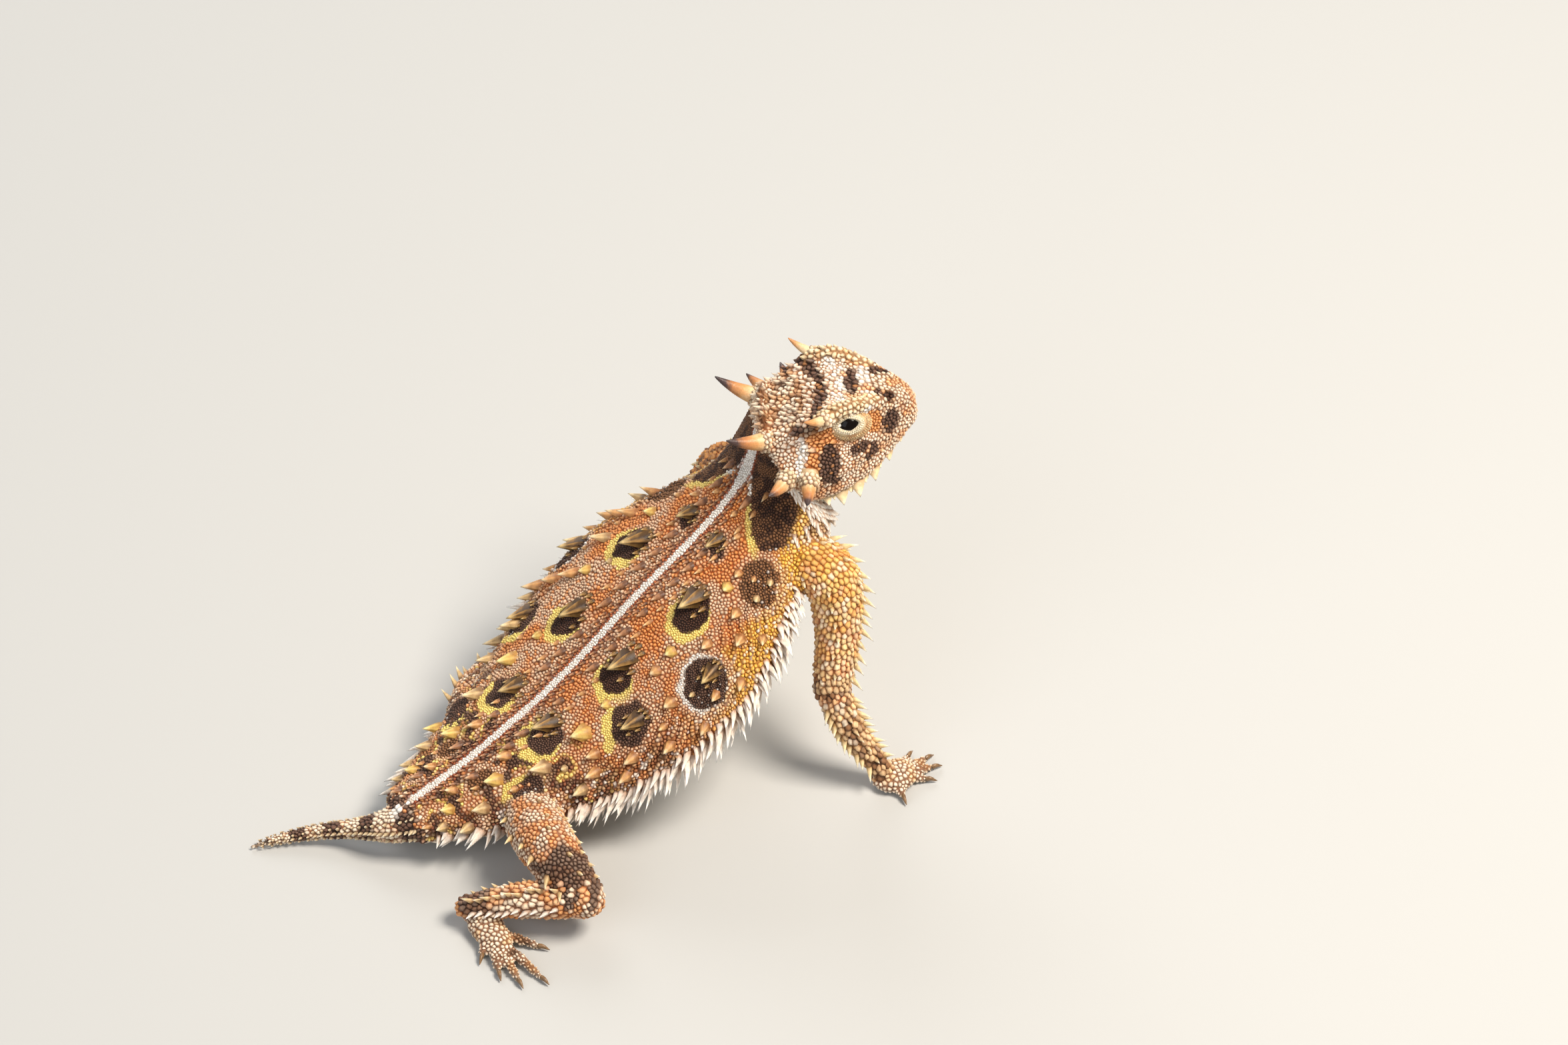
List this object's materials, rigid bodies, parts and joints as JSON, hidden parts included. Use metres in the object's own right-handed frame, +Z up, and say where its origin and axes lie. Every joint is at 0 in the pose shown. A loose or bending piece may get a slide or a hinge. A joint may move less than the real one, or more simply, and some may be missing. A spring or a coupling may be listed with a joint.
{
  "type": "horned lizard",
  "caption": "Life-size still model of a Texas horned lizard standing with raised chest, head turned to its right, flat spiny body, horned head and short tail.",
  "frame": {"origin": "on the floor, under the middle of the model's bounding box", "axes": "+X the way the body points, +Y its left side, +Z up"},
  "size_m": [0.1035, 0.0671, 0.0586],
  "materials": {
    "skin": "matte granular scales",
    "eye": "wet gloss",
    "horn": "satin horn"
  },
  "bodies": {
    "root": {"torso": "skin", "neck": "skin", "head": "skin", "tail_base": "skin", "tail_middle": "skin", "tail_tip": "skin", "upper_arm_left": "skin", "upper_arm_right": "skin", "forearm_left": "skin", "forearm_right": "skin", "hand_left": "skin", "hand_right": "skin", "thigh_left": "skin", "thigh_right": "skin", "shin_left": "skin", "shin_right": "skin", "foot_left": "skin", "foot_right": "skin", "eye_left": "eye", "eye_right": "eye", "horn_occipital_left": "horn", "horn_occipital_right": "horn", "horn_temporal_rear_left": "horn", "horn_temporal_rear_right": "horn", "horn_temporal_front_left": "horn", "horn_temporal_front_right": "horn", "horn_superciliary_left": "horn", "horn_superciliary_right": "horn"}
  },
  "joints": []
}
